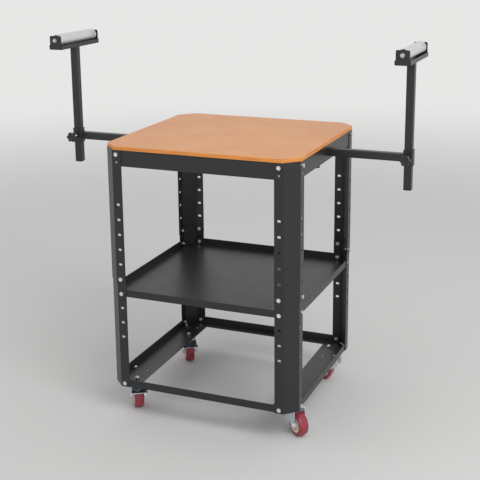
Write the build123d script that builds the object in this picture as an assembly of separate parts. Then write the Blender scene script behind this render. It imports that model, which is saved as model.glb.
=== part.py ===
from build123d import *
import os
from math import sqrt

# Rolling work stand. Sizes are in millimetres. The origin is on the floor under the middle of the frame,
# +X runs to the right of someone facing the front, +Y to the back and +Z up. Heights on the frame are
# measured from the foot of the legs, which the casters hold off the floor.

# The frame as a whole
frame_width = 654         # between the outer faces of the left and right legs
frame_depth = 619         # between the outer faces of the front and back legs
caster_height = 103       # floor to the foot of the legs
leg_height = 807          # foot of the legs to the underside of the tabletop
sheet = 2                 # thickness of all the folded steel
inner_bend = 1            # inside radius of the sharpest fold
overrun = 20              # how far a cutter runs past what it cuts

# Legs: a 45 degree corner facet with a flange each side, in two pieces that lap
leg_corner = 39           # from the square corner to the facet's edge, along each face
leg_flange = 31.5
lap_margin = 13           # from the splice bolt to the end of each leg piece
hole_pitch = 50
top_bolt_drop = 15        # top bolt below the top of the leg
rivet_drop = 25           # rivet below the top bolt
first_slot_drop = 179     # first adjusting slot below the top of the leg
upper_slots = 5           # open slots above the splice bolt
lower_slots = 3           # open slots below the shelf bolt
slot_length = 12
slot_height = 8

# Blind rivets through the legs and the aprons
rivet_radius = 2.4
rivet_gap = 0.1           # round the rivet in its hole
rivet_head_radius = 4
rivet_head_height = 1.4
rivet_tail_radius = 3.2
rivet_tail_length = 4

# Hexagon bolts and nuts, one size for the frame, the casters' plates and the wheels' axles
bolt_radius = 4
bolt_hole_gap = 0.5       # round the bolt in a bolt hole
thread_gap = 0.05         # round the thread in its nut
hex_width = 13            # across the flats of heads and nuts
head_height = 5.3
head_dimple_radius = 2.4
head_dimple_depth = 1
nut_height = 6.5
bolt_end = 3              # thread that shows past the nut

# Aprons under the tabletop
apron_height = 53
apron_flange = 24         # top flange that the tabletop rests on
rail_end_gap = 3          # from the leg's facet edge to the end of each apron, lip and rail

# Tabletop
top_thickness = 12
top_overhang = 2
top_corner_cut = 46       # leg of the 45 degree corner
top_corner_radius = 12
top_edge_radius = 1.5

# Wood screws up into the tabletop
screw_radius = 2.25
screw_head_radius = 4.5
screw_head_height = 2.6
screw_bite = 9            # length in the tabletop
end_screw_inset = 97      # front and back aprons: outer screws from the frame's side face
side_screw_inset = 119.5  # side aprons: screws from the frame's front or back face

# Shelf tray
tray_lip_height = 25
tray_lip_bolt_height = 11 # bolt above the tray's underside
tray_strip = 12           # width of floor folded from the same strip as each lip

# Bottom rails
rail_height = 26
rail_flange = 38          # front and back rails
wide_flange_width = 90    # side rails, wide enough for the casters' plates
rail_gap = 1              # between the ends of the rails' flanges and their neighbours

# Arms, posts and the sleeves that hold them, all of one square tube
tube = 25                 # outside
tube_wall = 2
tube_radius = 3           # outside corner
slide_gap = 0.4           # round the tube in a sleeve or plate
sleeve_wall = 3
arm_drop = 27.5           # arm axis below the top of the leg
arm_pitch = 27            # between the two arms' axes, side by side under the top
arm_reach = 258           # frame's side face to the post's axis, as photographed
arm_past_middle = 14.9    # how far each tube's inner end lies past the middle of the frame
post_sleeve_height = 50
guide_length = 92         # sleeve inside each side apron
guide_plate_inset = 200   # from the frame's side face to each guide plate
guide_plate_width = 86
guide_plate_rim = 6       # steel left under the tubes
guide_plate_flange = 24
guide_plate_screw_spread = 30

# Posts and roller heads
post_length = 403
left_head_rise = 310.5    # arm axis to the underside of the left trough
right_head_rise = 301.5
trough_width = 49
trough_length = 242
trough_wall = 14.5        # height of the long walls
trough_end_width = 43
trough_end_height = 46
trough_end_radius = 5
roller_axis_height = 30.5 # above the trough's underside
roller_radius = 19
roller_wall = 2
roller_end_gap = 4        # from each end of the roller to the end plate
roller_axle_radius = 4
roller_axle_end = 12      # past each end plate
roller_nut_width = 13
bearing_length = 15
bearing_collar_radius = 8
bearing_gap = 0.4         # from the bearing's collar to the end plate
axle_gap = 0.08           # round an axle in what turns on it
seat_gap = 0.05           # round a piece pressed into another

# Clamp knobs
stud_radius = 4
stud_show = 11.5
stud_tip_gap = 0.3        # from the stud's tip to the tube it clamps
knob_radius = 18
knob_lobes = 6
knob_lobe_radius = 5.5
knob_core_radius = 14
knob_height = 15
knob_neck_radius = 8
knob_neck = 8

# Casters
caster_side_inset = 42    # frame's side face to the swivel axis
caster_end_inset = 103.5  # frame's front or back face to the swivel axis
plate_width = 66
plate_length = 95
plate_thickness = 3
plate_corner_radius = 6
plate_hole_x = 46         # hole to hole across the rail
plate_hole_y = 75         # hole to hole along the rail
race_radius = 21
race_height = 6
swivel_gap = 0.4
kingpin_radius = 5
kingpin_head_radius = 8
kingpin_head_height = 2.6
trail = 32                # swivel axis to wheel axle
wheel_radius = 37.5
tread_width = 32
tread_depth = 12
tread_round = 3
hub_width = 37
hub_boss_radius = 10
hub_rim = 4
hub_web = 8
hub_gap = 0.5             # hub to fork
fork_sheet = 2.5
fork_bend = 3             # inside radius of the fork's two folds
fork_crown_back = 30      # swivel axis to the crown's end away from the wheel
fork_crown_front = 36     # swivel axis to the crown's other end
fork_skirt = 30           # straight part of the fork's sides under the crown
fork_foot_radius = 11
caster_turns = {"front_left": 35, "back_left": 33, "front_right": 50, "back_right": 265}

# Brake pedals on the left casters
pedal_sheet = 2.5
pedal_gap = 0.4           # between the pedal's arms and the fork
pedal_pivot_x = 14        # from the swivel axis
pedal_pivot_drop = 21     # below the foot of the legs
pedal_pin_radius = 3
pedal_slope = 14          # degrees down from level
pedal_arm_radius = 6      # half the arms' width, and their round ends
pedal_arm_reach = 54      # pivot to the middle of the arms' round ends
pedal_plate_start = 26    # pivot to the near edge of the plate between the arms
pedal_bar_reach = 64      # pivot to the middle of the foot bar
pedal_bar_depth = 14
pedal_bar_width = 54
pedal_bar_radius = 3

# Worked out from the sizes above
facet_share = sqrt(2) - 1
hole_column = leg_corner + leg_flange / 2
rail_end = leg_corner + rail_end_gap
bolt_hole_radius = bolt_radius + bolt_hole_gap
splice_height = leg_height - first_slot_drop - upper_slots * hole_pitch
shelf_bolt_height = splice_height - hole_pitch
apron_bolt_height = leg_height - top_bolt_drop
rivet_height = apron_bolt_height - rivet_drop
rail_bolt_height = rail_height / 2
tray_height = shelf_bolt_height - tray_lip_bolt_height
arm_height = leg_height - arm_drop
sleeve_inside = tube + 2 * slide_gap
sleeve_outside = sleeve_inside + 2 * sleeve_wall
post_x = frame_width / 2 + arm_reach
arm_length = post_x - sleeve_outside / 2 + arm_past_middle
caster_x = frame_width / 2 - caster_side_inset
caster_y = frame_depth / 2 - caster_end_inset
crown_top = caster_height - plate_thickness - race_height - swivel_gap
fork_inside = hub_width + 2 * hub_gap
fork_outside = fork_inside + 2 * fork_sheet
roller_length = trough_length - 2 * (sheet + roller_end_gap)

# Each side of the frame: quarter turn from the front, distance of its face from the middle, and its width
sides = {
    "front": (0, frame_depth / 2, frame_width),
    "right": (90, frame_width / 2, frame_depth),
    "back": (180, frame_depth / 2, frame_width),
    "left": (270, frame_width / 2, frame_depth),
}
# Each corner: whether it is mirrored to the right and to the back of the front left one
corners = {
    "front_left": (False, False),
    "front_right": (True, False),
    "back_left": (False, True),
    "back_right": (True, True),
}


def save(shape, node):
    """Write one node's solids."""
    export_step(shape, "parts/" + node + ".step")


def at_side(shape, side):
    """Carry a shape drawn for the front, with the frame's face at y = 0, to a side of the frame."""
    turn, distance, span = sides[side]
    return Rot(0, 0, turn) * Pos(0, -distance, caster_height) * shape


def at_corner(shape, corner):
    """Carry a shape drawn from the frame's front left corner to any corner, mirrored as needed."""
    right, back = corners[corner]
    placed = Pos(-frame_width / 2, -frame_depth / 2, caster_height) * shape
    if right:
        placed = placed.mirror(Plane.YZ)
    if back:
        placed = placed.mirror(Plane.XZ)
    return placed


def both_flanges(shape):
    """A shape on a leg's front flange, and the same one on its side flange."""
    return [shape, shape.mirror(Plane((0, 0, 0), z_dir=(1, -1, 0)))]


def slab(x_low, x_high, y_low, y_high, z_low, z_high):
    """Box between two places along each axis."""
    size = (x_high - x_low, y_high - y_low, z_high - z_low)
    middle = ((x_low + x_high) / 2, (y_low + y_high) / 2, (z_low + z_high) / 2)
    return Pos(*middle) * Box(*size)


def rod(radius, start, length, axis="Z"):
    """Cylinder that starts at a place and runs along a positive axis."""
    turn = {"X": Rot(0, 90, 0), "Y": Rot(-90, 0, 0), "Z": Rot(0, 0, 0)}[axis]
    return Pos(*start) * turn * Cylinder(radius, length, align=(Align.CENTER, Align.CENTER, Align.MIN))


def drill(radius, x, z):
    """Cutter through a web near the frame's face, along Y."""
    return rod(radius, (x, -overrun, z), 2 * overrun, "Y")


def hex_prism(width, height):
    """Hexagon of this width across its flats, from the ground plane up."""
    return extrude(RegularPolygon(width / 2, 6, major_radius=False), amount=height)


def hex_bolt(grip, nut):
    """Bolt along +Y with its head's seat at the origin, for a grip and a nut of these heights."""
    head = hex_prism(hex_width, head_height)
    head -= rod(head_dimple_radius, (0, 0, head_height - head_dimple_depth), overrun)
    shank = rod(bolt_radius, (0, 0, 0), grip + nut + bolt_end).mirror(Plane.XY)
    return Rot(90, 0, 0) * (head + shank)


def hex_nut(width, radius):
    """Nut that starts at the origin and runs along +Y."""
    nut = hex_prism(width, nut_height) - rod(radius + thread_gap, (0, 0, -overrun), 3 * overrun)
    return Rot(-90, 0, 0) * nut


def square_tube(outside, wall, radius, length):
    """Square tube from the ground plane up."""
    face = RectangleRounded(outside, outside, radius)
    face -= RectangleRounded(outside - 2 * wall, outside - 2 * wall, radius - wall)
    return extrude(face, amount=length)


def angle_section(height, flange):
    """Face of a folded angle: a web up the second axis, and a flange along the first from its foot."""
    outside = FilletPolyline((0, height), (0, 0), (flange, 0), radius=inner_bend + sheet)
    inside = FilletPolyline((sheet, height), (sheet, sheet), (flange, sheet), radius=inner_bend)
    ends = Line(outside @ 0, inside @ 0) + Line(outside @ 1, inside @ 1)
    return make_face(Curve() + outside + inside + ends)


def angle_strip(height, flange, length, inset, foot):
    """Folded angle along X with its web's outer face this far in, and its flange at the foot."""
    plane = Plane((-length / 2, inset, foot), x_dir=(0, 1, 0), z_dir=(1, 0, 0))
    return extrude(plane * angle_section(height, flange), amount=length)


def web_holes(span, height, radius=bolt_hole_radius):
    """Cutters for the two bolts or rivets that hold an apron, a tray's lip or a rail between its legs."""
    return [drill(radius, way * (span / 2 - hole_column), height) for way in (-1, 1)]


def leg_fold_line(inset):
    """Line of a folded leg's section, this far in from the frame's faces."""
    fold = leg_corner + inset * facet_share
    end = leg_corner + leg_flange
    points = [(end, inset), (fold, inset), (inset, fold), (inset, end)]
    return FilletPolyline(*points, radius=inner_bend + 2 * sheet - inset)


def leg_strip(inset, foot, top):
    """Folded leg between two heights, its outer face this far in from the frame's faces."""
    outside = leg_fold_line(inset)
    inside = leg_fold_line(inset + sheet)
    ends = Line(outside @ 0, inside @ 0) + Line(outside @ 1, inside @ 1)
    section = make_face(Curve() + outside + inside + ends)
    return extrude(Pos(0, 0, foot) * section, amount=top - foot)


def leg_slot(height):
    """Cutter for one adjusting slot in a leg's front flange."""
    plane = Plane((hole_column, -overrun, height), x_dir=(1, 0, 0), z_dir=(0, 1, 0))
    return extrude(plane * SlotOverall(slot_length, slot_height), amount=2 * overrun)


def upper_leg():
    leg = leg_strip(0, splice_height - lap_margin, leg_height)
    cutters = [leg_slot(splice_height + (k + 1) * hole_pitch) for k in range(upper_slots)]
    cutters += [drill(bolt_hole_radius, hole_column, z) for z in (apron_bolt_height, splice_height)]
    cutters.append(drill(rivet_radius + rivet_gap, hole_column, rivet_height))
    for cutter in cutters:
        leg -= both_flanges(cutter)
    return leg


def lower_leg():
    leg = leg_strip(sheet, 0, splice_height + lap_margin)
    cutters = [leg_slot(shelf_bolt_height - (k + 1) * hole_pitch) for k in range(lower_slots)]
    bolt_heights = (splice_height, shelf_bolt_height, rail_bolt_height)
    cutters += [drill(bolt_hole_radius, hole_column, z) for z in bolt_heights]
    for cutter in cutters:
        leg -= both_flanges(cutter)
    return leg


def frame_fasteners():
    """Bolts and nuts of one corner: at each height, one pair through each flange of the leg."""
    stations = ((apron_bolt_height, 0), (splice_height, 0))
    stations += ((shelf_bolt_height, sheet), (rail_bolt_height, sheet))
    bolts = []
    nuts = []
    for height, inset in stations:
        bolts += both_flanges(Pos(hole_column, inset, height) * hex_bolt(2 * sheet, nut_height))
        nuts += both_flanges(Pos(hole_column, inset + 2 * sheet, height) * hex_nut(hex_width, bolt_radius))
    return bolts, nuts


def corner_rivets():
    """Rivets of one corner, each with a low domed head outside and a tail behind the apron."""
    rivet = extrude(Plane.XZ * Circle(rivet_head_radius), amount=rivet_head_height)
    rivet = fillet(rivet.edges().sort_by(Axis.Y)[0], rivet_head_height / 2)
    rivet += rod(rivet_radius, (0, 0, 0), 2 * sheet, "Y")
    rivet += rod(rivet_tail_radius, (0, 2 * sheet, 0), rivet_tail_length, "Y")
    return both_flanges(Pos(hole_column, 0, rivet_height) * rivet)


def screw_places(side):
    """Places of a side's tabletop screws, along the side."""
    half = sides[side][2] / 2
    if side in ("front", "back"):
        return (end_screw_inset - half, 0, half - end_screw_inset)
    return (side_screw_inset - half, half - side_screw_inset)


def screw_inset():
    """Frame's face to the tabletop screws in the aprons' flanges."""
    return sheet + apron_flange / 2


def apron(side):
    """Web between two legs with a flange at its top. The side ones let an arm through."""
    span = sides[side][2]
    length = span - 2 * rail_end
    strip = angle_strip(apron_height, apron_flange, length, sheet, 0).mirror(Plane.XY)
    strip = Pos(0, 0, leg_height) * strip
    strip -= web_holes(span, apron_bolt_height)
    strip -= web_holes(span, rivet_height, rivet_radius + rivet_gap)
    for x in screw_places(side):
        strip -= rod(screw_radius + thread_gap, (x, screw_inset(), leg_height - overrun), 2 * overrun)
    if side in ("left", "right"):
        half = sleeve_inside / 2
        middle = arm_pitch / 2
        strip -= slab(middle - half, middle + half, -overrun, overrun, arm_height - half, arm_height + half)
    return at_side(strip, side)


def wood_screw():
    """Pan-head screw up into the tabletop, with its head's seat at the origin."""
    head = rod(screw_head_radius, (0, 0, -screw_head_height), screw_head_height)
    return head + rod(screw_radius, (0, 0, 0), sheet + screw_bite)


def table_screws():
    """All the screws that hold the tabletop to the aprons, and the guide plates to the tabletop."""
    seat = leg_height - sheet
    screws = []
    for side in sides:
        for x in screw_places(side):
            screws.append(at_side(Pos(x, screw_inset(), seat) * wood_screw(), side))
    for way in (-1, 1):
        x = way * (guide_plate_x() + guide_plate_flange / 2)
        for y in (-guide_plate_screw_spread, guide_plate_screw_spread):
            screws.append(Pos(x, y, caster_height + seat) * wood_screw())
    return screws


def tabletop(screws):
    """Board with its four corners cut at 45 degrees and rounded, and a pilot hole at each screw."""
    half_x = frame_width / 2 + top_overhang
    half_y = frame_depth / 2 + top_overhang
    points = [(half_x, half_y - top_corner_cut), (half_x - top_corner_cut, half_y)]
    points += [(-x, y) for x, y in reversed(points)]
    points += [(-x, -y) for x, y in points]
    face = make_face(Polyline(*points, close=True))
    face = fillet(face.vertices(), top_corner_radius)
    board = extrude(face, amount=top_thickness)
    board = fillet(board.faces().sort_by(Axis.Z)[-1].edges(), top_edge_radius)
    board = Pos(0, 0, caster_height + leg_height) * board
    for screw in screws:
        place = screw.center(CenterOf.BOUNDING_BOX)
        start = (place.X, place.Y, caster_height + leg_height - overrun)
        board -= rod(screw_radius + thread_gap, start, overrun + screw_bite)
    return board


def shelf_tray():
    """Tray floor with a folded lip between each two legs and open corners that clear the legs."""
    fold = 2 * sheet + inner_bend + sheet
    half_x = frame_width / 2
    half_y = frame_depth / 2
    points = [(half_x - fold, half_y - rail_end), (half_x - rail_end, half_y - fold)]
    points += [(-x, y) for x, y in reversed(points)]
    points += [(-x, -y) for x, y in points]
    tray = extrude(make_face(Polyline(*points, close=True)), amount=sheet)
    tray = Pos(0, 0, caster_height + tray_height) * tray
    for side in sides:
        span = sides[side][2]
        strip = angle_strip(tray_lip_height, tray_strip, span - 2 * rail_end, 2 * sheet, tray_height)
        strip -= web_holes(span, shelf_bolt_height)
        tray += at_side(strip, side)
    return tray


def end_rail(side):
    """Front or back bottom rail. Its flange stops at the side rails' flanges."""
    span = sides[side][2]
    rail = angle_strip(rail_height, rail_flange, span - 2 * rail_end, 2 * sheet, 0)
    rail -= web_holes(span, rail_bolt_height)
    flange_end = span / 2 - 2 * sheet - wide_flange_width - rail_gap
    for low, high in ((-span / 2, -flange_end), (flange_end, span / 2)):
        rail -= slab(low, high, 3 * sheet, rail_flange + overrun, -overrun, rail_height + overrun)
    return at_side(rail, side)


def side_rail(side):
    """Left or right bottom rail. Its wide flange runs to the end rails' webs and carries two casters."""
    span = sides[side][2]
    rail = angle_strip(rail_height, wide_flange_width, span - 2 * rail_end, 2 * sheet, 0)
    rail -= web_holes(span, rail_bolt_height)
    edge = 3 * sheet + rail_gap
    inner = 2 * sheet + wide_flange_width
    half = span / 2
    points = [(half - rail_end, edge), (half - edge, rail_end)]
    points += [(half - edge, inner), (half - rail_end, inner)]
    wing = extrude(make_face(Polyline(*points, close=True)), amount=sheet)
    rail += [wing, wing.mirror(Plane.YZ)]
    for along in (-caster_y, caster_y):
        for x, y in plate_hole_places():
            place = (along + y, caster_side_inset + x, -overrun)
            rail -= rod(bolt_hole_radius, place, 2 * overrun)
    return at_side(rail, side)


def plate_hole_places():
    """Places of a caster plate's four holes from its middle."""
    x = plate_hole_x / 2
    y = plate_hole_y / 2
    return ((x, -y), (-x, y), (x, y), (-x, -y))


def guide_plate_x():
    """Middle of the frame to a guide plate's outer face."""
    return frame_width / 2 - guide_plate_inset


def arm_guide_sleeve(way):
    """Square sleeve behind a side apron, with a threaded boss below for its clamp knob."""
    sleeve = square_tube(sleeve_outside, sleeve_wall, tube_radius + sleeve_wall, guide_length)
    sleeve = Rot(0, -90 * way, 0) * sleeve
    boss = Rot(-90, 0, 0) * hex_nut(hex_width, stud_radius)
    boss = Pos(-way * guide_length / 2, 0, -sleeve_outside / 2) * boss
    sleeve += boss
    hole = (-way * guide_length / 2, 0, -sleeve_outside)
    sleeve -= rod(stud_radius + axle_gap, hole, sleeve_outside)
    x = way * (frame_width / 2 - 2 * sheet)
    return Pos(x, way * arm_pitch / 2, caster_height + arm_height) * sleeve


def arm_guide_plate(way):
    """Bracket screwed under the tabletop, with one window that both arms pass side by side."""
    half = sleeve_inside / 2
    height = arm_drop + half + guide_plate_rim
    plate = angle_strip(height, guide_plate_flange, guide_plate_width, 0, 0).mirror(Plane.XY)
    plate = Pos(0, 0, leg_height) * plate
    wide = arm_pitch / 2 + half
    plate -= slab(-wide, wide, -overrun, sheet + overrun / 2, arm_height - half, arm_height + half)
    for x in (-guide_plate_screw_spread, guide_plate_screw_spread):
        place = (x, guide_plate_flange / 2, leg_height - overrun)
        plate -= rod(screw_radius + thread_gap, place, 2 * overrun)
    return Pos(way * guide_plate_x(), 0, caster_height) * Rot(0, 0, -90 * way) * plate


def arm(way):
    """Square tube along X, welded at its outer end to the upright sleeve that holds a post."""
    outer = post_x - sleeve_outside / 2
    bar = Rot(0, -90 * way, 0) * square_tube(tube, tube_wall, tube_radius, arm_length)
    bar = Pos(way * outer, 0, 0) * bar
    sleeve = square_tube(sleeve_outside, sleeve_wall, tube_radius + sleeve_wall, post_sleeve_height)
    sleeve = Pos(way * post_x, 0, -post_sleeve_height / 2) * sleeve
    boss = hex_nut(hex_width, stud_radius).mirror(Plane.XZ)
    sleeve += Pos(way * post_x, -sleeve_outside / 2, 0) * boss
    sleeve -= rod(stud_radius + axle_gap, (way * post_x, -sleeve_outside, 0), sleeve_outside, "Y")
    return Pos(0, way * arm_pitch / 2, caster_height + arm_height) * (bar + sleeve)


def at_post(shape, way, height):
    """Carry a shape drawn on a post's axis to its place, this far above the foot of the legs."""
    return Pos(way * post_x, way * arm_pitch / 2, caster_height + height) * shape


def post(way, head_height):
    """Square tube that stands in an arm's sleeve and carries a trough on its top."""
    upright = square_tube(tube, tube_wall, tube_radius, post_length)
    return at_post(upright, way, head_height - post_length)


def roller_trough(way, height):
    """Folded trough on a post, with two end plates that carry the roller's axle."""
    floor = slab(-trough_width / 2, trough_width / 2, -trough_length / 2, trough_length / 2, 0, trough_wall)
    floor = fillet(floor.edges().filter_by(Axis.Y).group_by(Axis.Z)[0], inner_bend + sheet)
    hollow = slab(-trough_width / 2 + sheet, trough_width / 2 - sheet, -trough_length, trough_length,
                  sheet, trough_wall + overrun)
    hollow = fillet(hollow.edges().filter_by(Axis.Y).group_by(Axis.Z)[0], inner_bend)
    trough = floor - hollow
    for end in (-1, 1):
        outer = end * trough_length / 2
        inner = outer - end * sheet
        half = trough_end_width / 2
        plate = slab(-half, half, min(outer, inner), max(outer, inner), 0, trough_end_height)
        plate = fillet(plate.edges().filter_by(Axis.Y).group_by(Axis.Z)[-1], trough_end_radius)
        trough += plate
    hole = (0, -trough_length, roller_axis_height)
    trough -= rod(roller_axle_radius + thread_gap, hole, 2 * trough_length, "Y")
    return at_post(trough, way, height)


def roller(way, height):
    shell = rod(roller_radius, (0, -roller_length / 2, 0), roller_length, "Y")
    shell -= rod(roller_radius - roller_wall, (0, -roller_length, 0), 2 * roller_length, "Y")
    return at_post(shell, way, height + roller_axis_height)


def roller_bearings(way, height):
    """Plug pressed into each end of a roller, with a collar that keeps the roller between its plates."""
    collar_end = trough_length / 2 - sheet - bearing_gap
    plug_start = roller_length / 2 - bearing_length
    plug = rod(roller_radius - roller_wall - seat_gap, (0, plug_start, 0), bearing_length, "Y")
    plug += rod(bearing_collar_radius, (0, plug_start, 0), collar_end - plug_start, "Y")
    plug -= rod(roller_axle_radius + axle_gap, (0, 0, 0), trough_length, "Y")
    plug = at_post(plug, way, height + roller_axis_height)
    middle = Plane((0, way * arm_pitch / 2, 0), z_dir=(0, 1, 0))
    return [plug, plug.mirror(middle)]


def roller_axle(way, height):
    """Threaded rod through both end plates, and a nut outside each."""
    half = trough_length / 2
    shaft = rod(roller_axle_radius, (0, -half - roller_axle_end, 0), 2 * (half + roller_axle_end), "Y")
    nut = Pos(0, half, 0) * hex_nut(roller_nut_width, roller_axle_radius)
    pieces = [shaft, nut, nut.mirror(Plane.XZ)]
    return [at_post(piece, way, height + roller_axis_height) for piece in pieces]


def clamp_knob():
    """Lobed knob on its stud along -Z, with the clamped tube's face at the origin."""
    seat = sleeve_wall + slide_gap + nut_height
    neck_start = seat + stud_show
    head_start = neck_start + knob_neck
    shape = rod(stud_radius, (0, 0, stud_tip_gap), head_start - stud_tip_gap)
    shape += rod(knob_neck_radius, (0, 0, neck_start), knob_neck)
    lobes = PolarLocations(knob_radius - knob_lobe_radius, knob_lobes) * Circle(knob_lobe_radius)
    head = extrude(Circle(knob_core_radius) + lobes, amount=knob_height)
    shape += Pos(0, 0, head_start) * head
    return shape.mirror(Plane.XY)


def post_knob(way):
    """Clamp knob on the front of an arm's sleeve."""
    knob = Pos(0, -tube / 2, 0) * Rot(-90, 0, 0) * clamp_knob()
    return at_post(knob, way, arm_height)


def arm_knob(way):
    """Clamp knob under a guide sleeve."""
    x = way * (frame_width / 2 - 2 * sheet - guide_length / 2)
    return Pos(x, way * arm_pitch / 2, caster_height + arm_height - tube / 2) * clamp_knob()


def at_plate(shape, corner):
    """Carry a shape drawn on a caster's swivel axis, with its heights above the floor, to its corner."""
    right, back = corners[corner]
    return Pos(caster_x if right else -caster_x, caster_y if back else -caster_y, 0) * shape


def at_swivel(shape, corner):
    """The same for what swivels: drawn with its trail along +X and turned as the caster stands."""
    return at_plate(Rot(0, 0, caster_turns[corner] - 90) * shape, corner)


def caster_plate():
    """Top plate with its pressed race and the riveted king pin."""
    foot = caster_height - plate_thickness
    outline = RectangleRounded(plate_width, plate_length, plate_corner_radius)
    plate = Pos(0, 0, foot) * extrude(outline, amount=plate_thickness)
    for x, y in plate_hole_places():
        plate -= rod(bolt_hole_radius, (x, y, foot - overrun), 2 * overrun)
    plate += rod(race_radius, (0, 0, foot - race_height), race_height)
    pin_foot = crown_top - fork_sheet - swivel_gap
    plate += rod(kingpin_radius, (0, 0, pin_foot), foot - pin_foot)
    plate += rod(kingpin_head_radius, (0, 0, pin_foot - kingpin_head_height), kingpin_head_height)
    return plate


def caster_fasteners():
    """Two bolts on one diagonal of a caster's plate, heads below, and their nuts on the rail."""
    foot = caster_height - plate_thickness
    bolts = []
    nuts = []
    for x, y in plate_hole_places()[:2]:
        bolts.append(Pos(x, y, foot) * Rot(90, 0, 0) * hex_bolt(plate_thickness + sheet, nut_height))
        nuts.append(Pos(x, y, caster_height + sheet) * Rot(90, 0, 0) * hex_nut(hex_width, bolt_radius))
    return bolts, nuts


def caster_fork(braked):
    """Folded fork: a crown under the race and two tapered sides down to the axle."""
    half = fork_outside / 2
    shell = slab(-trail - wheel_radius, trail + wheel_radius, -half, half, 0, crown_top)
    shell = fillet(shell.edges().filter_by(Axis.X).group_by(Axis.Z)[-1], fork_bend + fork_sheet)
    hollow = slab(-overrun - trail - wheel_radius, overrun + trail + wheel_radius,
                  -fork_inside / 2, fork_inside / 2, -overrun, crown_top - fork_sheet)
    hollow = fillet(hollow.edges().filter_by(Axis.X).group_by(Axis.Z)[-1], fork_bend)
    middle = Pos((fork_crown_front - fork_crown_back) / 2, crown_top - fork_skirt / 2)
    side = middle * Rectangle(fork_crown_front + fork_crown_back, fork_skirt)
    foot = Pos(trail, wheel_radius) * Circle(fork_foot_radius)
    outline = make_hull(side.edges() + foot.edges())
    profile = extrude(Plane.XZ * outline, amount=fork_outside, both=True)
    fork = (shell - hollow) & profile
    fork -= rod(kingpin_radius + axle_gap, (0, 0, 0), caster_height)
    fork -= rod(bolt_radius + thread_gap, (trail, -fork_outside, wheel_radius), 2 * fork_outside, "Y")
    if braked:
        pivot = (pedal_pivot_x, -fork_outside, caster_height - pedal_pivot_drop)
        fork -= rod(pedal_pin_radius + axle_gap, pivot, 2 * fork_outside, "Y")
    return fork


def caster_axle():
    """Axle bolt with its head on the near side of the fork, and its nut."""
    bolt = Pos(trail, -fork_outside / 2, wheel_radius) * hex_bolt(fork_outside, nut_height)
    nut = Pos(trail, fork_outside / 2, wheel_radius) * hex_nut(hex_width, bolt_radius)
    return [bolt, nut]


def caster_hub():
    """Hub with a boss, a thin web and a rim, turned about the axle."""
    rim = wheel_radius - tread_depth - seat_gap
    hub = rod(rim, (0, -tread_width / 2, 0), tread_width, "Y")
    recess = (tread_width - hub_web) / 2
    for start in (-tread_width / 2 - overrun, hub_web / 2):
        hub -= rod(rim - hub_rim, (0, start, 0), recess + overrun, "Y")
    hub += rod(hub_boss_radius, (0, -hub_width / 2, 0), hub_width, "Y")
    hub -= rod(bolt_radius + axle_gap, (0, -overrun - hub_width, 0), 2 * (overrun + hub_width), "Y")
    return Pos(trail, 0, wheel_radius) * hub


def caster_tread():
    """Solid tread with rounded shoulders."""
    tread = rod(wheel_radius, (0, -tread_width / 2, 0), tread_width, "Y")
    tread = fillet(tread.edges(), tread_round)
    tread -= rod(wheel_radius - tread_depth, (0, -tread_width, 0), 2 * tread_width, "Y")
    return Pos(trail, 0, wheel_radius) * tread


def brake_pedal():
    """Plate over the wheel that widens to a foot bar, on two arms that turn on a pin through the fork."""
    inner = fork_outside / 2 + pedal_gap
    outer = inner + pedal_sheet
    outline = Pos(pedal_arm_reach / 2, 0) * SlotCenterToCenter(pedal_arm_reach, 2 * pedal_arm_radius)
    side = extrude(Plane.XZ * outline, amount=pedal_sheet)
    pedal = rod(pedal_pin_radius, (0, -outer, 0), 2 * outer, "Y")
    pedal += [Pos(0, outer, 0) * side, Pos(0, -inner, 0) * side]
    plate_foot = pedal_arm_radius - pedal_sheet
    pedal += slab(pedal_plate_start, pedal_bar_reach, -outer, outer, plate_foot, pedal_arm_radius)
    bar = extrude(RectangleRounded(pedal_bar_depth, pedal_bar_width, pedal_bar_radius), amount=pedal_sheet)
    pedal += Pos(pedal_bar_reach, 0, plate_foot) * bar
    return Pos(pedal_pivot_x, 0, caster_height - pedal_pivot_drop) * Rot(0, pedal_slope, 0) * pedal


os.makedirs("parts", exist_ok=True)

all_bolts = []
all_nuts = []
all_rivets = []
for corner in corners:
    save(at_corner(upper_leg(), corner), "upper_leg_" + corner)
    save(at_corner(lower_leg(), corner), "lower_leg_" + corner)
    corner_bolts, corner_nuts = frame_fasteners()
    all_bolts += [at_corner(bolt, corner) for bolt in corner_bolts]
    all_nuts += [at_corner(nut, corner) for nut in corner_nuts]
    all_rivets += [at_corner(rivet, corner) for rivet in corner_rivets()]
save(Compound(all_bolts), "frame_bolts")
save(Compound(all_nuts), "frame_nuts")

for side in sides:
    save(apron(side), "apron_" + side)
    save(end_rail(side) if side in ("front", "back") else side_rail(side), "bottom_rail_" + side)
all_screws = table_screws()
save(Compound(all_screws + all_rivets), "screws_and_rivets")
save(tabletop(all_screws), "tabletop")
save(shelf_tray(), "shelf_tray")
save(Compound([arm_guide_sleeve(way) for way in (-1, 1)]), "arm_guide_sleeves")
save(Compound([arm_guide_plate(way) for way in (-1, 1)]), "arm_guide_plates")

for name, way, rise in (("left", -1, left_head_rise), ("right", 1, right_head_rise)):
    height = arm_height + rise
    save(arm(way), name + "_arm")
    save(post(way, height), name + "_post")
    save(roller_trough(way, height), name + "_roller_trough")
    save(roller(way, height), name + "_roller")
    save(Compound(roller_bearings(way, height)), name + "_roller_bearings")
    save(Compound(roller_axle(way, height)), name + "_roller_axle")
    save(post_knob(way), name + "_post_knob")
    save(arm_knob(way), name + "_arm_knob")

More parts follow.
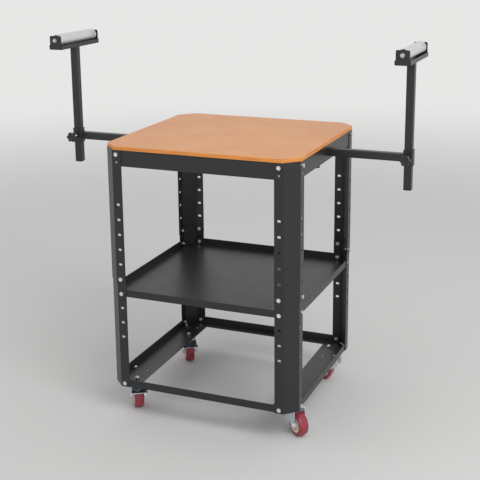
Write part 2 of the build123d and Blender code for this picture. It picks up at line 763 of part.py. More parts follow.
plates = []
plate_bolts = []
plate_nuts = []
for corner in corners:
    plates.append(at_plate(caster_plate(), corner))
    corner_bolts, corner_nuts = caster_fasteners()
    plate_bolts += [at_plate(bolt, corner) for bolt in corner_bolts]
    plate_nuts += [at_plate(nut, corner) for nut in corner_nuts]
    braked = corner in ("front_left", "back_left")
    save(at_swivel(caster_fork(braked), corner), "caster_fork_" + corner)
    save(Compound([at_swivel(piece, corner) for piece in caster_axle()]), "caster_axle_" + corner)
    save(at_swivel(caster_hub(), corner), "caster_hub_" + corner)
    save(at_swivel(caster_tread(), corner), "caster_tread_" + corner)
    if braked:
        save(at_swivel(brake_pedal(), corner), "brake_pedal_" + corner)
save(Compound(plates), "caster_plates")
save(Compound(plate_bolts), "caster_bolts")
save(Compound(plate_nuts), "caster_nuts")
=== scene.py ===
import math

import bmesh
import bpy
from mathutils import Matrix, Vector


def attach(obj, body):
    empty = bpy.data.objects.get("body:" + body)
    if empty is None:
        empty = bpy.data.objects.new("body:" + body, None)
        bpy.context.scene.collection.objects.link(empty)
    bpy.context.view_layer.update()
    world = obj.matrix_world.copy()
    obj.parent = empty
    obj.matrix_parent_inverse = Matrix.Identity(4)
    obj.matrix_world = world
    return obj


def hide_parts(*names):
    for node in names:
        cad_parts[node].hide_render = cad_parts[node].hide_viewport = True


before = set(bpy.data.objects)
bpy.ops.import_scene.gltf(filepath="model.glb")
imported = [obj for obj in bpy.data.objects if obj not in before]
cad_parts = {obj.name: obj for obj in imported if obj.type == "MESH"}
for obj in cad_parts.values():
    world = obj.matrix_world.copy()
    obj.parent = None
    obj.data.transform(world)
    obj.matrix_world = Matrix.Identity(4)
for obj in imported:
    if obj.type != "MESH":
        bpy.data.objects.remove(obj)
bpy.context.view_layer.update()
scene = bpy.context.scene

# The camera stands in front of the stand and to its right, a little above the worktop, and looks
# down at it. The small shift keeps the legs as nearly upright as they are in the photograph.
camera_place = Vector((1.2758, -3.0477, 1.5767))
camera_yaw = 22.39
camera_pitch = -13.96
camera_roll = -0.54
camera_lens = 76.2
camera_shift = -0.12

yaw, pitch, roll = (math.radians(x) for x in (camera_yaw, camera_pitch, camera_roll))
ahead = Vector((-math.sin(yaw) * math.cos(pitch), math.cos(yaw) * math.cos(pitch), math.sin(pitch)))
level = Vector((math.cos(yaw), math.sin(yaw), 0))
upward = level.cross(ahead)
across = math.cos(roll) * level + math.sin(roll) * upward
axes = Matrix((across, (-ahead).cross(across), -ahead)).transposed()
camera = bpy.data.objects.new("camera", bpy.data.cameras.new("camera"))
camera.matrix_world = Matrix.Translation(camera_place) @ axes.to_4x4()
camera.data.lens = camera_lens
camera.data.shift_y = camera_shift
scene.collection.objects.link(camera)
scene.camera = camera

# Soft studio light: a pale room all round, one large lamp high on the right and a weaker one on
# the left. Gloss and the camera see the room as a plain off-white wall.
room_light = 0.72
white = (1, 1, 1, 1)
wall_tone = (0.8, 0.8, 0.792, 1)
ray_kinds = ("Is Camera Ray", "Is Glossy Ray", "Is Transmission Ray")
mix_inputs = (0, 6, 7)
mix_output = 2
lamps = (
    ("lamp_right", (2.6, -1.9, 3.3), 2.4, 76),
    ("lamp_left", (-2.8, -2.2, 2.4), 2.0, 6),
)
lamp_target = Vector((0, 0, 0.6))
scene.view_settings.view_transform = "Standard"

for name, place, size, power in lamps:
    lamp = bpy.data.objects.new(name, bpy.data.lights.new(name, "AREA"))
    lamp.data.shape = "DISK"
    lamp.data.size = size
    lamp.data.energy = power
    lamp.location = place
    lamp.rotation_euler = (lamp_target - lamp.location).to_track_quat("-Z", "Y").to_euler()
    scene.collection.objects.link(lamp)


class Wire:
    """One socket among a material's nodes. Arithmetic with wires adds Math nodes."""

    def __init__(self, tree, socket=None):
        self.tree = tree
        self.socket = socket

    def node(self, kind, settings=None, sockets=None, output=0):
        """Add a node: first its settings, then a value or a wire for each of these sockets."""
        made = self.tree.nodes.new(kind)
        for name, value in (settings or {}).items():
            setattr(made, name, value)
        for name, value in (sockets or {}).items():
            if isinstance(value, Wire):
                self.tree.links.new(value.socket, made.inputs[name])
            else:
                made.inputs[name].default_value = value
        return Wire(self.tree, made.outputs[output])

    def into(self, node, name):
        self.tree.links.new(self.socket, node.inputs[name])

    def math(self, operation, first, second):
        return self.node("ShaderNodeMath", {"operation": operation}, {0: first, 1: second})

    def __add__(self, other):
        return self.math("ADD", self, other)

    def __rsub__(self, other):
        return self.math("SUBTRACT", other, self)

    def __mul__(self, other):
        return self.math("MULTIPLY", self, other)

    __radd__ = __add__
    __rmul__ = __mul__


def blend(mask, under, over):
    """Colour over another where the mask is 1."""
    values = dict(zip(mix_inputs, (mask, under, over)))
    return mask.node("ShaderNodeMix", {"data_type": "RGBA"}, values, mix_output)


scene.world = bpy.data.worlds.new("room")
scene.world.use_nodes = True
room = Wire(scene.world.node_tree)
rays = [room.node("ShaderNodeLightPath", output=kind) for kind in ray_kinds]
seen = room.math("MAXIMUM", room.math("MAXIMUM", rays[0], rays[1]), rays[2])
strength = seen * (1 - room_light) + room_light
background = scene.world.node_tree.nodes["Background"]
strength.into(background, "Strength")
blend(seen, white, wall_tone).into(background, "Color")

# Plain pale floor, a wide smooth disc. Far out it takes the wall's own tone, so that no line
# shows where the two meet. It is the stage and no part of the stand.
floor_radius = 14
floor_steps = 64
floor_rings = (0.6, 1.6, 3.5, 7, floor_radius)
floor_tone = (0.64, 0.64, 0.635, 1)
floor_roughness = 0.85
floor_fade = (2.2, 6.5)


def new_finish(name, **values):
    """A new material: the wire that its nodes start from, and its shader with these values."""
    material = bpy.data.materials.new(name)
    material.use_nodes = True
    shader = material.node_tree.nodes["Principled BSDF"]
    for socket, value in values.items():
        shader.inputs[socket.replace("_", " ").title()].default_value = value
    return material, Wire(material.node_tree), shader


def between(wire, low, high):
    """Share of the way from a low to a high value, eased at both ends and held to 0 and 1."""
    ends = {"Value": wire, "From Min": low, "From Max": high}
    return wire.node("ShaderNodeMapRange", {"interpolation_type": "SMOOTHSTEP"}, ends)


def new_object(name, bm):
    """Object from a bmesh, its faces all turned outwards."""
    bmesh.ops.recalc_face_normals(bm, faces=bm.faces)
    mesh = bpy.data.meshes.new(name)
    bm.to_mesh(mesh)
    bm.free()
    made = bpy.data.objects.new(name, mesh)
    scene.collection.objects.link(made)
    return made


def round_ring(radius, height, count):
    turns = (math.tau * k / count for k in range(count))
    return [(radius * math.cos(turn), radius * math.sin(turn), height) for turn in turns]


def band(bm, low, high):
    """Quads between two rings of vertices."""
    for k in range(len(low)):
        bm.faces.new((low[k - 1], low[k], high[k], high[k - 1]))


bm = bmesh.new()
rings = [round_ring(radius, 0, floor_steps) for radius in floor_rings]
rows = [[bm.verts.new(point) for point in ring] for ring in rings]
bm.faces.new(rows[0])
for inner, outer in zip(rows, rows[1:]):
    band(bm, inner, outer)
floor = new_object("floor", bm)
if floor.data.polygons[0].normal.z < 0:
    floor.data.flip_normals()
floor_finish, start, shader = new_finish("floor_finish", base_color=floor_tone, roughness=floor_roughness)
at = start.node("ShaderNodeTexCoord", output="Object")
reach = start.node("ShaderNodeVectorMath", {"operation": "LENGTH"}, {0: at}, "Value")
glow = start.node("ShaderNodeEmission", None, {"Color": wall_tone, "Strength": 1})
plain = Wire(start.tree, shader.outputs[0])
mixed = start.node("ShaderNodeMixShader", None, {0: between(reach, *floor_fade), 1: plain, 2: glow})
mixed.into(start.tree.nodes["Material Output"], "Surface")
floor.data.materials.append(floor_finish)

# Folded sheet steel and square tube: legs, aprons, tray, rails, arms, posts and troughs. All are
# powder coated in semi-gloss black, with the coat's slight orange peel, and a little dust and
# dull scuffing on what faces up. A noise's values are its scale, its detail and its roughness.
coat_black = (34, 34, 35)
coat_rubbed = (54, 54, 55)
coat_dust = (104, 103, 100)
coat_roughness = 0.33
cloud_dulls = 0.05
scuff_dulls = 0.08
dust_dulls = 0.05
coat_relief = (0.22, 0.00025)
peel_noise = (420, 2)
grit_noise = (2300, 1)
cloud_noise = (6, 5)
scuff_noise = (1, 6, 0.7)
scuff_stretch = (14, 14, 150)
scuff_turn = (0.5, 0.35, 0)
scuff_band = (0.62, 0.74)
scuff_share = 0.3
dust_noise = (22, 6, 0.65)
dust_band = (0.3, 0.75)
dust_share = 0.05
peel_share = 0.75
level_band = (0.7, 0.95)
paint_levels = 255
paint_offset = 0.055
paint_power = 2.4
steel_nodes = [
    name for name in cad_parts
    if name.split("_")[0] in ("upper", "lower", "apron", "bottom", "shelf")
    or name in ("arm_guide_sleeves", "arm_guide_plates")
    or name.endswith(("_arm", "_post", "_trough"))
]


def paint(red, green, blue):
    """Colour for a socket from its 8-bit parts."""
    parts = (value / paint_levels for value in (red, green, blue))
    return (*(((part + paint_offset) / (1 + paint_offset)) ** paint_power for part in parts), 1)


def noise(at, scale, detail, roughness=0.5):
    values = {"Vector": at, "Scale": scale, "Detail": detail, "Roughness": roughness}
    return at.node("ShaderNodeTexNoise", None, values)


def stretched(at, scale, turn=(0, 0, 0)):
    return at.node("ShaderNodeMapping", None, {"Vector": at, "Scale": scale, "Rotation": turn})


def relief(height, strength, depth):
    """Normal of a surface with this fine relief, its depth in metres."""
    return height.node("ShaderNodeBump", None, {"Height": height, "Strength": strength, "Distance": depth})


def facing_up(at, low, high):
    """1 on what faces up and 0 on the rest."""
    normal = at.node("ShaderNodeTexCoord", output="Normal")
    return between(at.node("ShaderNodeSeparateXYZ", None, {0: normal}, "Z"), low, high)


def dress(names, finish):
    """Give CAD nodes a finish."""
    for name in names:
        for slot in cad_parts[name].material_slots:
            slot.material = finish


coat_finish, start, shader = new_finish("black_powder_coat_finish")
at = start.node("ShaderNodeTexCoord", output="Object")
cloud = noise(at, *cloud_noise)
peel = noise(at, *peel_noise)
grit = noise(at, *grit_noise)
scuff = between(noise(stretched(at, scuff_stretch, scuff_turn), *scuff_noise), *scuff_band)
dust = facing_up(at, *level_band) * between(noise(at, *dust_noise), *dust_band)
tone = blend(scuff * scuff_share, paint(*coat_black), paint(*coat_rubbed))
blend(dust * dust_share, tone, paint(*coat_dust)).into(shader, "Base Color")
dulled = coat_roughness + cloud_dulls * cloud + scuff_dulls * scuff + dust_dulls * dust
dulled.into(shader, "Roughness")
relief(peel * peel_share + grit * (1 - peel_share), *coat_relief).into(shader, "Normal")
dress(steel_nodes, coat_finish)

# Worktop: a 12 mm board with a smooth lacquered orange-tan face. Its rounded edge shows the core,
# a warmer orange, with faint lines of the pressed layers. It is screwed down from below.
face_tan = (214, 150, 96)
face_dark = (206, 140, 87)
edge_orange = (226, 146, 66)
edge_dark = (194, 116, 54)
face_band = (0.82, 0.97)
face_tone_band = (0.38, 0.66)
fibre_stretch = (26, 210, 60)
fibre_noise = (1, 6, 0.6)
fibre_share = 0.55
fibre_height = 0.5
mottle_noise = (9, 5, 0.6)
speck_noise = (900, 2)
speck_band = (0.6, 0.8)
speck_share = 0.15
layer_stretch = (12, 12, 620)
layer_noise = (1, 2)
layer_band = (0.42, 0.68)
layer_height = 0.5
board_roughness = 0.46
face_shines = 0.1
mottle_dulls = 0.1
board_relief = (0.25, 0.0002)

board_finish, start, shader = new_finish("tabletop_board_finish")
at = start.node("ShaderNodeTexCoord", output="Object")
top_face = facing_up(at, *face_band)
fibre = noise(stretched(at, fibre_stretch), *fibre_noise)
mottle = noise(at, *mottle_noise)
speck = between(noise(at, *speck_noise), *speck_band)
grain = between(fibre * fibre_share + mottle * (1 - fibre_share), *face_tone_band)
face = blend(grain, paint(*face_tan), paint(*face_dark))
face = blend(speck * speck_share, face, paint(*face_dark))
layers = noise(stretched(at, layer_stretch), *layer_noise)
edge = blend(between(layers, *layer_band), paint(*edge_orange), paint(*edge_dark))
blend(top_face, edge, face).into(shader, "Base Color")
(board_roughness - face_shines * top_face + mottle_dulls * mottle).into(shader, "Roughness")
height = fibre * fibre_height + layers * (1 - top_face) * layer_height
relief(height, *board_relief).into(shader, "Normal")
dress(["tabletop"], board_finish)

# Bolts and nuts through both flanges of every leg and through the casters' plates. Bright zinc
# plated steel: a chamfered hexagon head with a shallow dimple, a rolled thread, and a plain nut.
# A metal's make is its roughness, how metallic it is and how strongly it is stained.
bolt_radius = 0.004
thread_pitch = 0.00125
thread_depth = 0.0004
tip_drop = 0.0008
tip_length = 0.0007
hex_flat = 0.0065
head_height = 0.0053
head_dimple = ((0.0028, 0), (0.0024, 0.0004), (0.0018, 0.001))
nut_height = 0.0065
nut_play = 0.00005
bore_break = 0.0005
rim_break = 0.0003
flat_break = 0.0002
chamfer = 0.58
hex_steps = 36
thread_steps = 20
merge_digits = 5
plain_crease = 32
fastener_sets = (("frame_bolts", "frame_nuts", 0.004), ("caster_bolts", "caster_nuts", 0.005))
zinc_make = (0.16, 1.0, 0.2)
dull_make = (0.42, 0.8, 0.2)
metal_cloud_noise = (45, 4, 0.6)
metal_cloud_band = (0.35, 0.7)
metal_cloud_dulls = 0.1
grain_noise = (1400, 2)
drawn_noise = (1, 4, 0.6)
grain_dulls = 0.1
stain_noise = (160, 5, 0.7)
stain_band = (0.58, 0.8)
stain_dulls = 0.5
metal_relief = (0.12, 0.0001)
zinc_bright = (228, 230, 233)
zinc_warm = (214, 213, 207)
metal_stain = (120, 120, 118)
dull_zinc = (150, 152, 160)
dull_dark = (128, 130, 138)


def loft(bm, rings, at, closed=False):
    """Bands between rings of points at a place. The ends are capped, unless it closes on itself."""
    rows = [[bm.verts.new(at @ Vector(point)) for point in ring] for ring in rings]
    pairs = list(zip(rows, rows[1:]))
    if closed:
        pairs.append((rows[-1], rows[0]))
    else:
        bm.faces.new(rows[0])
        bm.faces.new(rows[-1])
    for low, high in pairs:
        band(bm, low, high)


def hex_ring(flat, height, drop=0):
    """Ring round a hexagon of this half width. Its corners drop by a share of how far they stand out."""
    ring = []
    side = math.tau / 6
    for k in range(hex_steps):
        turn = math.tau * k / hex_steps
        out = flat / math.cos(turn % side - side / 2)
        ring.append((out * math.cos(turn), out * math.sin(turn), height - drop * (out - flat)))
    return ring


def bolt_head(bm, at):
    """Head from its seat at the place, up along Z."""
    rings = [
        hex_ring(hex_flat - rim_break, 0),
        hex_ring(hex_flat, rim_break),
        hex_ring(hex_flat, head_height - flat_break, chamfer),
        round_ring(hex_flat - rim_break, head_height, hex_steps),
    ]
    rings += [round_ring(radius, head_height - drop, hex_steps) for radius, drop in head_dimple]
    loft(bm, rings, at)


def threads(low, high):
    """Rings of a thread between two heights, with the chamfered tip at the low end."""
    rings = [round_ring(bolt_radius - tip_drop, low, thread_steps)]
    low += tip_length
    for k in range(int((high - low) / thread_pitch) * 2):
        depth = thread_depth if k % 2 else 0
        rings.append(round_ring(bolt_radius - depth, low + k * thread_pitch / 2, thread_steps))
    return rings


def bolt_shank(bm, at, plain, end):
    """Shank down from the place: plain at first, then threaded to a chamfered end."""
    rings = threads(-end, -plain)
    rings += [round_ring(bolt_radius, -plain, thread_steps), round_ring(bolt_radius, 0, thread_steps)]
    loft(bm, rings, at)


def hex_nut(bm, at):
    """Nut from the place up along Z, chamfered at both faces and at both ends of its bore."""
    bore = bolt_radius + nut_play
    rings = [
        round_ring(bore + bore_break, 0, hex_steps),
        round_ring(hex_flat - rim_break, 0, hex_steps),
        hex_ring(hex_flat, flat_break, -chamfer),
        hex_ring(hex_flat, nut_height - flat_break, chamfer),
        round_ring(hex_flat - rim_break, nut_height, hex_steps),
        round_ring(bore + bore_break, nut_height, hex_steps),
        round_ring(bore, nut_height - bore_break, hex_steps),
        round_ring(bore, bore_break, hex_steps),
    ]
    loft(bm, rings, at, closed=True)


def solids_of(node):
    """Middle and size of each separate solid of a CAD node."""
    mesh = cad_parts[node].data
    ends = {}

    def root(key):
        while ends[key] != key:
            ends[key] = ends[ends[key]]
            key = ends[key]
        return key

    keys = [tuple(round(value, merge_digits) for value in vertex.co) for vertex in mesh.vertices]
    for key in keys:
        ends[key] = key
    for face in mesh.polygons:
        first = root(keys[face.vertices[0]])
        for vertex in face.vertices[1:]:
            ends[root(keys[vertex])] = first
    groups = {}
    for key in ends:
        groups.setdefault(root(key), []).append(key)
    boxes = [[(min(values), max(values)) for values in zip(*group)] for group in groups.values()]
    boxes.sort()
    return [
        (Vector([(low + high) / 2 for low, high in box]), Vector([high - low for low, high in box]))
        for box in boxes
    ]


def outward(middle, size, axis):
    """Place at a solid's outer end. Its Z points away from the stand, a corner of the hexagon along X."""
    z = Vector((0, 0, 0))
    z[axis] = -1 if axis == 2 else math.copysign(1, middle[axis])
    x = Vector((0, 0, 0))
    x[max((k for k in range(3) if k != axis), key=lambda k: size[k])] = 1
    place = middle + z * size[axis] / 2
    return Matrix.Translation(place) @ Matrix((x, z.cross(x), z)).transposed().to_4x4()


def finish_piece(piece, finish, slot, body, *nodes, crease=plain_crease):
    """Shade a piece, give it its finish, tie it to its body, and hide the CAD nodes that it stands for."""
    piece.data.shade_smooth()
    piece.data.set_sharp_from_angle(angle=math.radians(crease))
    piece.data.materials.append(finish)
    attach(piece, body)
    if nodes:
        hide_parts(*nodes)


def metal(name, bright, warm, make, lines=None):
    """Plated or bare metal with a cloudy tone and stains, and fine lines if it has a stretch for them."""
    roughness, metallic, stained = make
    made, start, shader = new_finish(name, metallic=metallic)
    at = start.node("ShaderNodeTexCoord", output="Object")
    cloud = noise(at, *metal_cloud_noise)
    grain = noise(stretched(at, lines), *drawn_noise) if lines else noise(at, *grain_noise)
    stain = between(noise(at, *stain_noise), *stain_band)
    tone = blend(between(cloud, *metal_cloud_band), paint(*bright), paint(*warm))
    blend(stain * stained, tone, paint(*metal_stain)).into(shader, "Base Color")
    dulled = roughness + metal_cloud_dulls * cloud + grain_dulls * grain + stain_dulls * stained * stain
    dulled.into(shader, "Roughness")
    relief(grain, *metal_relief).into(shader, "Normal")
    return made


zinc_finish = metal("zinc_fastener_finish", zinc_bright, zinc_warm, zinc_make)
for bolts, nuts, grip in fastener_sets:
    bm = bmesh.new()
    for middle, size in solids_of(bolts):
        place = outward(middle, size, max(range(3), key=lambda k: size[k]))
        place = place @ Matrix.Translation((0, 0, -head_height))
        bolt_head(bm, place)
        bolt_shank(bm, place, grip, max(size) - head_height)
    finish_piece(new_object(bolts + "_rolled", bm), zinc_finish, "zinc_fastener", "stand", bolts)
    bm = bmesh.new()
    for middle, size in solids_of(nuts):
        place = outward(middle, size, min(range(3), key=lambda k: size[k]))
        hex_nut(bm, place @ Matrix.Translation((0, 0, -nut_height)))
    finish_piece(new_object(nuts + "_rolled", bm), zinc_finish, "zinc_fastener", "stand", nuts)
dull_finish = metal("dull_fastener_finish", dull_zinc, dull_dark, dull_make)
dress(["screws_and_rivets"], dull_finish)

# Welds where each arm's tube meets its post sleeve, and where each post meets its trough: short
# rippled beads, coated with the rest.
tube_half = 0.0125
tube_corner = 0.003
bead_radius = 0.0017
bead_ripple = 0.0021
bead_swell = 0.16
bead_step = 0.0006
bead_sides = 10
bead_crease = 70
corner_steps = 5
arm_axis = 0.8825
arm_offset = 0.0135
post_x = 0.585
sleeve_half = 0.0159
trough_foot = {"left": 1.193, "right": 1.184}
ways = {"left": -1, "right": 1}


def square_ring(half, corner, height=0):
    """Ring round a square with rounded corners."""
    ring = []
    for k, (x, y) in enumerate(((1, 1), (-1, 1), (-1, -1), (1, -1))):
        for step in range(corner_steps + 1):
            turn = math.tau / 4 * (k + step / corner_steps)
            flat = half - corner
            ring.append((x * flat + corner * math.cos(turn), y * flat + corner * math.sin(turn), height))
    return ring


def along(ring, step):
    """Points at even steps round a closed line."""
    points = [Vector(point) for point in ring]
    points.append(points[0])
    made = []
    left = 0
    for low, high in zip(points, points[1:]):
        span = (high - low).length
        while left < span:
            made.append(low.lerp(high, left / span))
            left += step
        left -= span
    return made


def weld_bead(name, at, body):
    """Rippled bead round a square tube, in the plane across Z at the place."""
    line = along(square_ring(tube_half, tube_corner), bead_step)
    up = Vector((0, 0, 1))
    rings = []
    for k, point in enumerate(line):
        ahead = (line[(k + 1) % len(line)] - line[k - 1]).normalized()
        out = ahead.cross(up)
        size = bead_radius * (1 + bead_swell * math.sin(math.tau * k * bead_step / bead_ripple))
        turns = (math.tau * n / bead_sides for n in range(bead_sides))
        rings.append([point + size * (math.cos(turn) * out + math.sin(turn) * up) for turn in turns])
    bm = bmesh.new()
    loft(bm, rings, at, closed=True)
    finish_piece(new_object(name, bm), coat_finish, "black_powder_coat", body, crease=bead_crease)


for side, way in ways.items():
    face = Matrix.Translation((way * (post_x - sleeve_half), way * arm_offset, arm_axis))
    weld_bead(side + "_arm_weld", face @ Matrix.Rotation(math.tau / 4, 4, "Y"), side + "_arm_slider")
    top = Matrix.Translation((way * post_x, way * arm_offset, trough_foot[side]))
    weld_bead(side + "_post_weld", top, side + "_post_slider")

# Ribbed plastic plugs pressed into the open ends of the posts and the arms. Each has a low domed
# cap as wide as the tube.
plug_half = 0.0105
plug_corner = 0.001
plug_skirt = 0.012
plug_tip = 0.0012
rib_fit = 0.0002
rib_groove = 0.0011
rib_start = 0.0022
rib_pitch = 0.0026
rib_fall = 0.0012
rib_rows = 4
cap_profile = (
    (0.0122, 0.003, 0), (0.0125, 0.003, -0.0004), (0.0123, 0.003, -0.0014), (0.0112, 0.0022, -0.00238),
    (0.0075, 0.002, -0.0028), (0.0035, 0.002, -0.0028),
)
plug_crease = 40
post_foot = {"left": 0.79, "right": 0.781}
arm_inner_end = 0.0149
plastic_black = (34, 34, 35)
plastic_worn = (66, 66, 67)
plastic_roughness = 0.24
plastic_relief = (0.35, 0.0003)
pimple_noise = (1700, 2, 0.6)
pimple_dulls = 0.1
wear_noise = (120, 5, 0.7)
wear_band = (0.55, 0.75)
wear_share = 0.45
wear_dulls = 0.12

plastic_finish, start, shader = new_finish("black_plastic_finish")
at = start.node("ShaderNodeTexCoord", output="Object")
pimple = noise(at, *pimple_noise)
wear = between(noise(at, *wear_noise), *wear_band)
blend(wear * wear_share, paint(*plastic_black), paint(*plastic_worn)).into(shader, "Base Color")
(plastic_roughness + pimple_dulls * pimple + wear_dulls * wear).into(shader, "Roughness")
relief(pimple, *plastic_relief).into(shader, "Normal")


def end_plug(name, at, body):
    """Plug with its cap's inner face at the place and its skirt up along Z."""
    rings = [square_ring(plug_half - plug_tip, plug_corner, plug_skirt)]
    for k in range(rib_rows):
        low = plug_skirt - rib_start - k * rib_pitch
        rings.append(square_ring(plug_half - rib_fit, plug_corner, low))
        rings.append(square_ring(plug_half - rib_groove, plug_corner, low - rib_fall))
    rings.append(square_ring(plug_half - rib_fit, plug_corner))
    rings += [square_ring(*row) for row in cap_profile]
    bm = bmesh.new()
    loft(bm, rings, at)
    finish_piece(new_object(name, bm), plastic_finish, "black_plastic", body, crease=plug_crease)


for side, way in ways.items():
    foot = Matrix.Translation((way * post_x, way * arm_offset, post_foot[side]))
    end_plug(side + "_post_plug", foot, side + "_post_slider")
    inner = Matrix.Translation((-way * arm_inner_end, way * arm_offset, arm_axis))
    end_plug(side + "_arm_plug", inner @ Matrix.Rotation(way * math.tau / 4, 4, "Y"), side + "_arm_slider")

# Rollers: bright drawn tube, turned at the ends, on a threaded rod with a nut outside each end
# plate of the trough. Black plastic bearing plugs close the tubes. The profile gives each radius
# and how far it is from the tube's end.
roller_half = 0.115
roller_profile = (
    (0.0168, 0.115), (0.0168, 0.0012), (0.0176, 0), (0.018, 0), (0.0187, 0.0003), (0.019, 0.001),
    (0.019, 0.006), (0.01875, 0.0064), (0.01875, 0.0072), (0.019, 0.0076), (0.019, 0.075),
)
roller_rise = 0.0305
turned_steps = 96
trough_half = 0.121
axle_end = 0.012
thread_end = 0.122
roller_tone = (216, 217, 220)
roller_shade = (208, 209, 212)
roller_make = (0.34, 0.7, 0.04)
roller_lines = (3, 700, 3)
rod_zinc = (196, 197, 198)
rod_shade = (182, 182, 180)
rod_make = (0.34, 0.8, 0.2)


def turned(bm, profile, at):
    """Closed turned body from one half of its profile. The other half mirrors it."""
    mirrored = [(radius, -height) for radius, height in reversed(profile[1:])]
    rings = [round_ring(radius, height, turned_steps) for radius, height in (*profile, *mirrored)]
    loft(bm, rings, at, closed=True)


roller_finish = metal("roller_metal_finish", roller_tone, roller_shade, roller_make, roller_lines)
rod_finish = metal("roller_rod_finish", rod_zinc, rod_shade, rod_make)
for side, way in ways.items():
    axis = Matrix.Translation((way * post_x, way * arm_offset, trough_foot[side] + roller_rise))
    axis = axis @ Matrix.Rotation(-math.tau / 4, 4, "X")
    bm = bmesh.new()
    turned(bm, [(radius, roller_half - inset) for radius, inset in roller_profile], axis)
    finish_piece(new_object(side + "_roller_shell", bm), roller_finish, "roller_metal",
                 side + "_roller_tube", side + "_roller")
    bm = bmesh.new()
    rings = threads(-trough_half - axle_end, -thread_end)
    mirrored = [[(x, y, -z) for x, y, z in ring] for ring in reversed(rings)]
    loft(bm, rings + mirrored, axis)
    for end in (1, -1):
        flip = Matrix.Rotation(0 if end > 0 else math.pi, 4, "X")
        hex_nut(bm, axis @ flip @ Matrix.Translation((0, 0, trough_half)))
    finish_piece(new_object(side + "_roller_rod", bm), rod_finish, "zinc_fastener",
                 side + "_post_slider", side + "_roller_axle")
    dress([side + "_roller_bearings"], plastic_finish)

# Clamp knobs: moulded black plastic, with six lobes, a dished top and a tapered neck, on a zinc
# plated stud. One clamps each post in its sleeve, and one below the top clamps each arm.
stud_tip = 0.0003
stud_head = 0.0244
head_start = 0.0294
arm_clamp_x = 0.277
knob_lobes = 6
knob_lobe = 0.0038
lobe_sharpness = 1.25
knob_steps = 120
knob_crease = 50
knob_profile = (
    (0.0068, -0.0076, 0), (0.0078, -0.0070, 0), (0.0079, -0.0020, 0), (0.0090, -0.0002, 0),
    (0.0118, 0.0002, 0.5), (0.0131, 0.0006, 0.8), (0.0139, 0.0016, 0.96), (0.0142, 0.0032, 1),
    (0.0142, 0.0105, 1), (0.0139, 0.0128, 0.96), (0.0131, 0.0142, 0.84), (0.0118, 0.0149, 0.62),
    (0.0098, 0.0150, 0.3), (0.0084, 0.0148, 0.1), (0.0076, 0.0141, 0), (0.0072, 0.0134, 0),
    (0.0040, 0.0133, 0), (0.0012, 0.0136, 0),
)


def lobed_ring(radius, height, share):
    """Ring with lobes that stand out by this share of their full size."""
    ring = []
    for k in range(knob_steps):
        turn = math.tau * k / knob_steps
        lobe = (1 + math.cos(knob_lobes * turn)) / 2
        out = radius + share * knob_lobe * lobe ** lobe_sharpness
        ring.append((out * math.cos(turn), out * math.sin(turn), height))
    return ring


for side, way in ways.items():
    front = Matrix.Translation((way * post_x, way * arm_offset - tube_half, arm_axis))
    front = front @ Matrix.Rotation(math.tau / 4, 4, "X")
    below = Matrix.Translation((way * arm_clamp_x, way * arm_offset, arm_axis - tube_half))
    below = below @ Matrix.Rotation(math.pi, 4, "X")
    for kind, place in (("post", front), ("arm", below)):
        body = side + "_" + kind + "_clamp"
        bm = bmesh.new()
        grip = place @ Matrix.Translation((0, 0, head_start))
        loft(bm, [lobed_ring(*row) for row in knob_profile], grip)
        finish_piece(new_object(side + "_" + kind + "_knob_grip", bm), plastic_finish, "black_plastic", body,
                     side + "_" + kind + "_knob", crease=knob_crease)
        bm = bmesh.new()
        loft(bm, threads(stud_tip, stud_head), place)
        finish_piece(new_object(side + "_" + kind + "_knob_stud", bm), zinc_finish, "zinc_fastener", body)

# Casters: a pressed and zinc plated plate, race and fork, a moulded cream hub on an axle bolt, and
# a solid red polyurethane tread bonded round it. The left two have a brake pedal, whose foot bar
# is hemmed along its edge. Each caster stands turned as in the photograph.
swivel_x = 0.285
swivel_y = 0.206
caster_turns = {"front_left": 35, "back_left": 33, "front_right": 50, "back_right": 265}
trail = 0.032
wheel_radius = 0.0375
fork_half = 0.0215
axle_tip = 0.003
caster_zinc = (232, 238, 244)
caster_shade = (214, 221, 229)
caster_make = (0.28, 0.6, 0.08)
tread_red = (160, 56, 72)
tread_deep = (140, 44, 58)
tread_dust = (150, 118, 116)
tread_roughness = 0.2
tread_relief = (0.2, 0.0002)
tread_crease = 45
swirl_noise = (70, 5, 0.6)
swirl_band = (0.35, 0.65)
swirl_dulls = 0.1
tread_grain_noise = (1500, 2)
tread_dust_noise = (260, 5, 0.7)
tread_dust_band = (0.5, 0.8)
tread_dust_share = 0.3
tread_dust_dulls = 0.1
hub_cream = (236, 228, 206)
hub_soiled = (206, 196, 168)
hub_roughness = 0.38
hub_relief = (0.2, 0.0002)
hub_grain_noise = (900, 3)
soil_noise = (180, 6, 0.7)
soil_band = (0.4, 0.75)
soil_share = 0.45
soil_dulls = 0.2
tread_profile = (
    (0.02555, 0.0), (0.02555, 0.0156), (0.0260, 0.0160), (0.0335, 0.0160), (0.0352, 0.0155),
    (0.0365, 0.0143), (0.0371, 0.0126), (0.03735, 0.0102), (0.03745, 0.0070), (0.0375, 0.0009),
    (0.03745, 0.0003),
)
hub_profile = (
    (0.00408, 0.0), (0.00408, 0.0181), (0.0046, 0.0185), (0.0088, 0.0185), (0.0096, 0.0181),
    (0.0100, 0.0173), (0.0102, 0.0060), (0.0112, 0.0046), (0.0130, 0.0041), (0.0193, 0.0041),
    (0.0208, 0.0047), (0.0215, 0.0060), (0.0217, 0.0152), (0.0223, 0.0159), (0.0237, 0.0160),
    (0.0251, 0.0159), (0.0255, 0.0154),
)
spoke_count = 6
spoke_line = ((0.0095, 0.0155), (0.0120, 0.0132), (0.0190, 0.0132), (0.0221, 0.0145))
spoke_foot = (0.0015, 0.0035)
spoke_half = 0.0009
spoke_break = 0.0005
pedal_pivot = (0.014, 0, 0.082)
pedal_slope = 14
# The pedal plates' zinc is darker than the fork's zinc: painted shade, for the shadow in the recess under
# the rail.
pedal_zinc_painted_shade = (176, 184, 190)
pedal_cloud_painted_shade = (150, 158, 166)
pedal_make = (0.18, 0.95, 0.08)
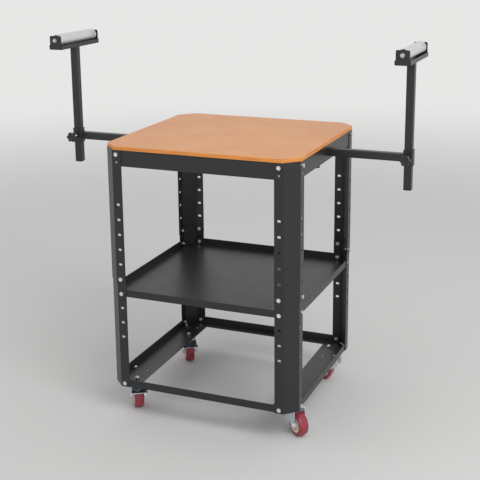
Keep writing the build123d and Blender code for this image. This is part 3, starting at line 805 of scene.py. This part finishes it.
hem_place = (0.0705, 0, 0.00475)
hem_profile = ((0.0010, -0.0270), (0.0016, -0.0264), (0.0016, 0.0264), (0.0010, 0.0270))
hem_steps = 24

caster_finish = metal("zinc_caster_finish", caster_zinc, caster_shade, caster_make)
pedal_painted_shade_finish = metal("zinc_pedal_painted_shade_finish", pedal_zinc_painted_shade, pedal_cloud_painted_shade, pedal_make)
tread_finish, start, shader = new_finish("red_polyurethane_finish")
at = start.node("ShaderNodeTexCoord", output="Object")
swirl = noise(at, *swirl_noise)
fine = noise(at, *tread_grain_noise)
dusty = between(noise(at, *tread_dust_noise), *tread_dust_band)
tone = blend(between(swirl, *swirl_band), paint(*tread_red), paint(*tread_deep))
blend(dusty * tread_dust_share, tone, paint(*tread_dust)).into(shader, "Base Color")
(tread_roughness + swirl_dulls * swirl + tread_dust_dulls * dusty).into(shader, "Roughness")
relief(fine, *tread_relief).into(shader, "Normal")
hub_finish, start, shader = new_finish("cream_plastic_finish")
at = start.node("ShaderNodeTexCoord", output="Object")
soil = between(noise(at, *soil_noise), *soil_band)
blend(soil * soil_share, paint(*hub_cream), paint(*hub_soiled)).into(shader, "Base Color")
(hub_roughness + soil_dulls * soil).into(shader, "Roughness")
relief(noise(at, *hub_grain_noise), *hub_relief).into(shader, "Normal")


def spoke(bm, at, way):
    """Rib along X at one side of the hub's web, with its edge broken."""
    rings = []
    for out, high in spoke_line:
        flank = (spoke_foot, (spoke_half, high - spoke_break), (spoke_break, high))
        section = [(-y, z) for y, z in flank] + list(reversed(flank))
        rings.append([(out, y, way * z) for y, z in section])
    loft(bm, rings, at)


dress(["caster_plates"], caster_finish)
for corner, turn in caster_turns.items():
    end, side = corner.split("_")
    stem = Matrix.Translation((ways[side] * swivel_x, swivel_y if end == "back" else -swivel_y, 0))
    stem = stem @ Matrix.Rotation(math.radians(turn) - math.tau / 4, 4, "Z")
    axle = stem @ Matrix.Translation((trail, 0, wheel_radius)) @ Matrix.Rotation(-math.tau / 4, 4, "X")
    bm = bmesh.new()
    turned(bm, tread_profile, axle)
    finish_piece(new_object("caster_tyre_" + corner, bm), tread_finish, "red_polyurethane",
                 "caster_wheel_" + corner, "caster_tread_" + corner, crease=tread_crease)
    bm = bmesh.new()
    turned(bm, hub_profile, axle)
    for k in range(spoke_count):
        round_axle = axle @ Matrix.Rotation(math.tau * k / spoke_count, 4, "Z")
        spoke(bm, round_axle, 1)
        spoke(bm, round_axle, -1)
    finish_piece(new_object("caster_wheel_hub_" + corner, bm), hub_finish, "cream_plastic",
                 "caster_wheel_" + corner, "caster_hub_" + corner)
    bm = bmesh.new()
    near = axle @ Matrix.Translation((0, 0, -fork_half)) @ Matrix.Rotation(math.pi, 4, "X")
    bolt_head(bm, near)
    bolt_shank(bm, near, 2 * fork_half, 2 * fork_half + nut_height + axle_tip)
    hex_nut(bm, axle @ Matrix.Translation((0, 0, fork_half)))
    finish_piece(new_object("caster_axle_bolt_" + corner, bm), caster_finish, "zinc_fastener",
                 "caster_swivel_" + corner, "caster_axle_" + corner)
    dress(["caster_fork_" + corner], caster_finish)
    if side == "left":
        hinge = stem @ Matrix.Translation(pedal_pivot) @ Matrix.Rotation(math.radians(pedal_slope), 4, "Y")
        edge = hinge @ Matrix.Translation(hem_place) @ Matrix.Rotation(-math.tau / 4, 4, "X")
        bm = bmesh.new()
        loft(bm, [round_ring(*row, hem_steps) for row in hem_profile], edge)
        finish_piece(new_object("pedal_hem_" + corner, bm), zinc_finish, "zinc_fastener", "brake_" + corner)
        # The pedal plate takes the darker zinc with painted shade.
        dress(["brake_pedal_" + corner], pedal_painted_shade_finish)
